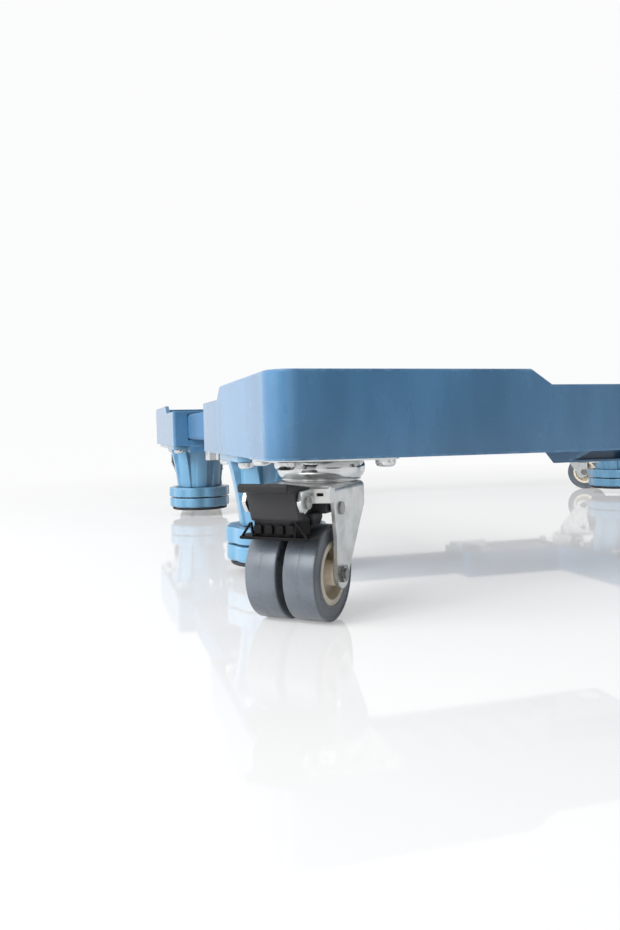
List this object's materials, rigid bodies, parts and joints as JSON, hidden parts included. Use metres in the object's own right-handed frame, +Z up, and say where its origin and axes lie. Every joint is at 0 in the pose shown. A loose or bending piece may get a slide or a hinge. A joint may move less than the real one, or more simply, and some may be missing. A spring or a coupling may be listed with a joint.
{
  "type": "adjustable mobile base",
  "caption": "Adjustable mobile base for an appliance: moulded corner brackets on telescopic bars, with braked twin-wheel swivel casters and screw feet.",
  "frame": {"origin": "on the floor under the middle of the base, half way between opposite brackets", "axes": "+X to the right along the front bars, +Y to the back along the side bars, +Z up"},
  "size_m": [0.6968, 0.737, 0.129],
  "materials": {
    "blue_plastic": "satin moulded",
    "pale_blue_plastic": "satin moulded",
    "bar_blue": "satin coated",
    "screw_steel": "bright plated",
    "caster_steel": "zinc plated",
    "pedal_plastic": "fine grain",
    "wheel_tyre": "smooth tread",
    "hub_plastic": "moulded",
    "sole_rubber": "matt"
  },
  "bodies": {
    "base_front_left": {"corner_bracket_front_left": "blue_plastic", "bracket_screws_front_left": "screw_steel", "foot_column_front_left": "pale_blue_plastic", "caster_plate_front_left": "caster_steel"},
    "base_front_right": {"corner_bracket_front_right": "blue_plastic", "bracket_screws_front_right": "screw_steel", "foot_column_front_right": "pale_blue_plastic", "caster_plate_front_right": "caster_steel"},
    "base_back_left": {"corner_bracket_back_left": "blue_plastic", "bracket_screws_back_left": "screw_steel", "foot_column_back_left": "pale_blue_plastic", "caster_plate_back_left": "caster_steel"},
    "base_back_right": {"corner_bracket_back_right": "blue_plastic", "bracket_screws_back_right": "screw_steel", "foot_column_back_right": "pale_blue_plastic", "caster_plate_back_right": "caster_steel"},
    "front_bar": {"front_bar": "bar_blue"},
    "back_bar": {"back_bar": "bar_blue"},
    "left_bar": {"left_bar": "bar_blue"},
    "right_bar": {"right_bar": "bar_blue"},
    "lock_front_left": {"lock_ring_front_left": "pale_blue_plastic"},
    "sole_front_left": {"foot_sole_front_left": "sole_rubber"},
    "foot_front_left": {"foot_screw_front_left": "pale_blue_plastic"},
    "fork_front_left": {"caster_fork_front_left": "caster_steel", "caster_pins_front_left": "screw_steel"},
    "pedal_front_left": {"brake_pedal_front_left": "pedal_plastic"},
    "wheel_left_front_left": {"tyre_left_front_left": "wheel_tyre", "hub_left_front_left": "hub_plastic"},
    "wheel_right_front_left": {"tyre_right_front_left": "wheel_tyre", "hub_right_front_left": "hub_plastic"},
    "lock_front_right": {"lock_ring_front_right": "pale_blue_plastic"},
    "sole_front_right": {"foot_sole_front_right": "sole_rubber"},
    "foot_front_right": {"foot_screw_front_right": "pale_blue_plastic"},
    "fork_front_right": {"caster_fork_front_right": "caster_steel", "caster_pins_front_right": "screw_steel"},
    "pedal_front_right": {"brake_pedal_front_right": "pedal_plastic"},
    "wheel_left_front_right": {"tyre_left_front_right": "wheel_tyre", "hub_left_front_right": "hub_plastic"},
    "wheel_right_front_right": {"tyre_right_front_right": "wheel_tyre", "hub_right_front_right": "hub_plastic"},
    "lock_back_left": {"lock_ring_back_left": "pale_blue_plastic"},
    "sole_back_left": {"foot_sole_back_left": "sole_rubber"},
    "foot_back_left": {"foot_screw_back_left": "pale_blue_plastic"},
    "fork_back_left": {"caster_fork_back_left": "caster_steel", "caster_pins_back_left": "screw_steel"},
    "pedal_back_left": {"brake_pedal_back_left": "pedal_plastic"},
    "wheel_left_back_left": {"tyre_left_back_left": "wheel_tyre", "hub_left_back_left": "hub_plastic"},
    "wheel_right_back_left": {"tyre_right_back_left": "wheel_tyre", "hub_right_back_left": "hub_plastic"},
    "lock_back_right": {"lock_ring_back_right": "pale_blue_plastic"},
    "sole_back_right": {"foot_sole_back_right": "sole_rubber"},
    "foot_back_right": {"foot_screw_back_right": "pale_blue_plastic"},
    "fork_back_right": {"caster_fork_back_right": "caster_steel", "caster_pins_back_right": "screw_steel"},
    "pedal_back_right": {"brake_pedal_back_right": "pedal_plastic"},
    "wheel_left_back_right": {"tyre_left_back_right": "wheel_tyre", "hub_left_back_right": "hub_plastic"},
    "wheel_right_back_right": {"tyre_right_back_right": "wheel_tyre", "hub_right_back_right": "hub_plastic"}
  },
  "joints": [
    {"name": "width", "type": "slide", "parent": "base_front_left", "child": "base_front_right", "axis": [1, 0, 0], "range_m": [-0.198, 0.04]},
    {"name": "depth", "type": "slide", "parent": "base_front_left", "child": "base_back_left", "axis": [0, 1, 0], "range_m": [-0.226, 0.012]},
    {"name": "width_back", "type": "slide", "parent": "base_back_left", "child": "base_back_right", "axis": [1, 0, 0], "range_m": [-0.198, 0.04]},
    {"name": "front_bar_slide", "type": "slide", "parent": "base_front_left", "child": "front_bar", "axis": [1, 0, 0], "range_m": [-0.099, 0.02]},
    {"name": "back_bar_slide", "type": "slide", "parent": "base_back_left", "child": "back_bar", "axis": [1, 0, 0], "range_m": [-0.099, 0.02]},
    {"name": "left_bar_slide", "type": "slide", "parent": "base_front_left", "child": "left_bar", "axis": [0, 1, 0], "range_m": [-0.113, 0.006]},
    {"name": "right_bar_slide", "type": "slide", "parent": "base_front_right", "child": "right_bar", "axis": [0, 1, 0], "range_m": [-0.113, 0.006]},
    {"name": "swivel_front_left", "type": "hinge", "parent": "base_front_left", "child": "fork_front_left", "pos_m": [-0.2925, -0.3065, 0.07229], "axis": [0, 0, 1], "continuous": true},
    {"name": "wheel_left_front_left", "type": "hinge", "parent": "fork_front_left", "child": "wheel_left_front_left", "pos_m": [-0.31202, -0.32928, 0.025], "axis": [0.7593, -0.6508, 0], "continuous": true},
    {"name": "wheel_right_front_left", "type": "hinge", "parent": "fork_front_left", "child": "wheel_right_front_left", "pos_m": [-0.31202, -0.32928, 0.025], "axis": [0.7593, -0.6508, 0], "continuous": true},
    {"name": "brake_front_left", "type": "hinge", "parent": "fork_front_left", "child": "pedal_front_left", "pos_m": [-0.32741, -0.34723, 0.06329], "axis": [0.7593, -0.6508, 0], "range_deg": [0, 12]},
    {"name": "foot_height_front_left", "type": "slide", "parent": "base_front_left", "child": "sole_front_left", "axis": [0, 0, 1], "range_m": [-0.025, 0.001]},
    {"name": "foot_turn_front_left", "type": "hinge", "parent": "sole_front_left", "child": "foot_front_left", "pos_m": [-0.2925, -0.196, 0.0103], "axis": [0, 0, 1], "range_deg": [-2250, 90]},
    {"name": "lock_turn_front_left", "type": "hinge", "parent": "base_front_left", "child": "lock_front_left", "pos_m": [-0.2925, -0.196, 0.0227], "axis": [0, 0, 1], "range_deg": [-60, 0]},
    {"name": "swivel_front_right", "type": "hinge", "parent": "base_front_right", "child": "fork_front_right", "pos_m": [0.2925, -0.3065, 0.07229], "axis": [0, 0, 1], "continuous": true},
    {"name": "wheel_left_front_right", "type": "hinge", "parent": "fork_front_right", "child": "wheel_left_front_right", "pos_m": [0.31202, -0.28372, 0.025], "axis": [-0.7593, 0.6508, 0], "continuous": true},
    {"name": "wheel_right_front_right", "type": "hinge", "parent": "fork_front_right", "child": "wheel_right_front_right", "pos_m": [0.31202, -0.28372, 0.025], "axis": [-0.7593, 0.6508, 0], "continuous": true},
    {"name": "brake_front_right", "type": "hinge", "parent": "fork_front_right", "child": "pedal_front_right", "pos_m": [0.32741, -0.26577, 0.06329], "axis": [-0.7593, 0.6508, 0], "range_deg": [0, 12]},
    {"name": "foot_height_front_right", "type": "slide", "parent": "base_front_right", "child": "sole_front_right", "axis": [0, 0, 1], "range_m": [-0.025, 0.001]},
    {"name": "foot_turn_front_right", "type": "hinge", "parent": "sole_front_right", "child": "foot_front_right", "pos_m": [0.2925, -0.196, 0.0103], "axis": [0, 0, 1], "range_deg": [-2250, 90]},
    {"name": "lock_turn_front_right", "type": "hinge", "parent": "base_front_right", "child": "lock_front_right", "pos_m": [0.2925, -0.196, 0.0227], "axis": [0, 0, 1], "range_deg": [-60, 0]},
    {"name": "swivel_back_left", "type": "hinge", "parent": "base_back_left", "child": "fork_back_left", "pos_m": [-0.2925, 0.3065, 0.07229], "axis": [0, 0, 1], "continuous": true},
    {"name": "wheel_left_back_left", "type": "hinge", "parent": "fork_back_left", "child": "wheel_left_back_left", "pos_m": [-0.27298, 0.32928, 0.025], "axis": [-0.7593, 0.6508, 0], "continuous": true},
    {"name": "wheel_right_back_left", "type": "hinge", "parent": "fork_back_left", "child": "wheel_right_back_left", "pos_m": [-0.27298, 0.32928, 0.025], "axis": [-0.7593, 0.6508, 0], "continuous": true},
    {"name": "brake_back_left", "type": "hinge", "parent": "fork_back_left", "child": "pedal_back_left", "pos_m": [-0.25759, 0.34723, 0.06329], "axis": [-0.7593, 0.6508, 0], "range_deg": [0, 12]},
    {"name": "foot_height_back_left", "type": "slide", "parent": "base_back_left", "child": "sole_back_left", "axis": [0, 0, 1], "range_m": [-0.025, 0.001]},
    {"name": "foot_turn_back_left", "type": "hinge", "parent": "sole_back_left", "child": "foot_back_left", "pos_m": [-0.2925, 0.196, 0.0103], "axis": [0, 0, 1], "range_deg": [-2250, 90]},
    {"name": "lock_turn_back_left", "type": "hinge", "parent": "base_back_left", "child": "lock_back_left", "pos_m": [-0.2925, 0.196, 0.0227], "axis": [0, 0, 1], "range_deg": [-60, 0]},
    {"name": "swivel_back_right", "type": "hinge", "parent": "base_back_right", "child": "fork_back_right", "pos_m": [0.2925, 0.3065, 0.07229], "axis": [0, 0, 1], "continuous": true},
    {"name": "wheel_left_back_right", "type": "hinge", "parent": "fork_back_right", "child": "wheel_left_back_right", "pos_m": [0.31202, 0.28372, 0.025], "axis": [0.7593, 0.6508, 0], "continuous": true},
    {"name": "wheel_right_back_right", "type": "hinge", "parent": "fork_back_right", "child": "wheel_right_back_right", "pos_m": [0.31202, 0.28372, 0.025], "axis": [0.7593, 0.6508, 0], "continuous": true},
    {"name": "brake_back_right", "type": "hinge", "parent": "fork_back_right", "child": "pedal_back_right", "pos_m": [0.32741, 0.26577, 0.06329], "axis": [0.7593, 0.6508, 0], "range_deg": [0, 12]},
    {"name": "foot_height_back_right", "type": "slide", "parent": "base_back_right", "child": "sole_back_right", "axis": [0, 0, 1], "range_m": [-0.025, 0.001]},
    {"name": "foot_turn_back_right", "type": "hinge", "parent": "sole_back_right", "child": "foot_back_right", "pos_m": [0.2925, 0.196, 0.0103], "axis": [0, 0, 1], "range_deg": [-2250, 90]},
    {"name": "lock_turn_back_right", "type": "hinge", "parent": "base_back_right", "child": "lock_back_right", "pos_m": [0.2925, 0.196, 0.0227], "axis": [0, 0, 1], "range_deg": [-60, 0]}
  ],
  "couplings": [
    {"joint": "width_back", "follows": "width", "ratio": 1},
    {"joint": "front_bar_slide", "follows": "width", "ratio": 0.5},
    {"joint": "back_bar_slide", "follows": "width", "ratio": 0.5},
    {"joint": "left_bar_slide", "follows": "depth", "ratio": 0.5},
    {"joint": "right_bar_slide", "follows": "depth", "ratio": 0.5},
    {"joint": "foot_height_front_left", "follows": "foot_turn_front_left", "m_per_rad": 0.00063662},
    {"joint": "foot_height_front_right", "follows": "foot_turn_front_right", "m_per_rad": 0.00063662},
    {"joint": "foot_height_back_left", "follows": "foot_turn_back_left", "m_per_rad": 0.00063662},
    {"joint": "foot_height_back_right", "follows": "foot_turn_back_right", "m_per_rad": 0.00063662}
  ]
}
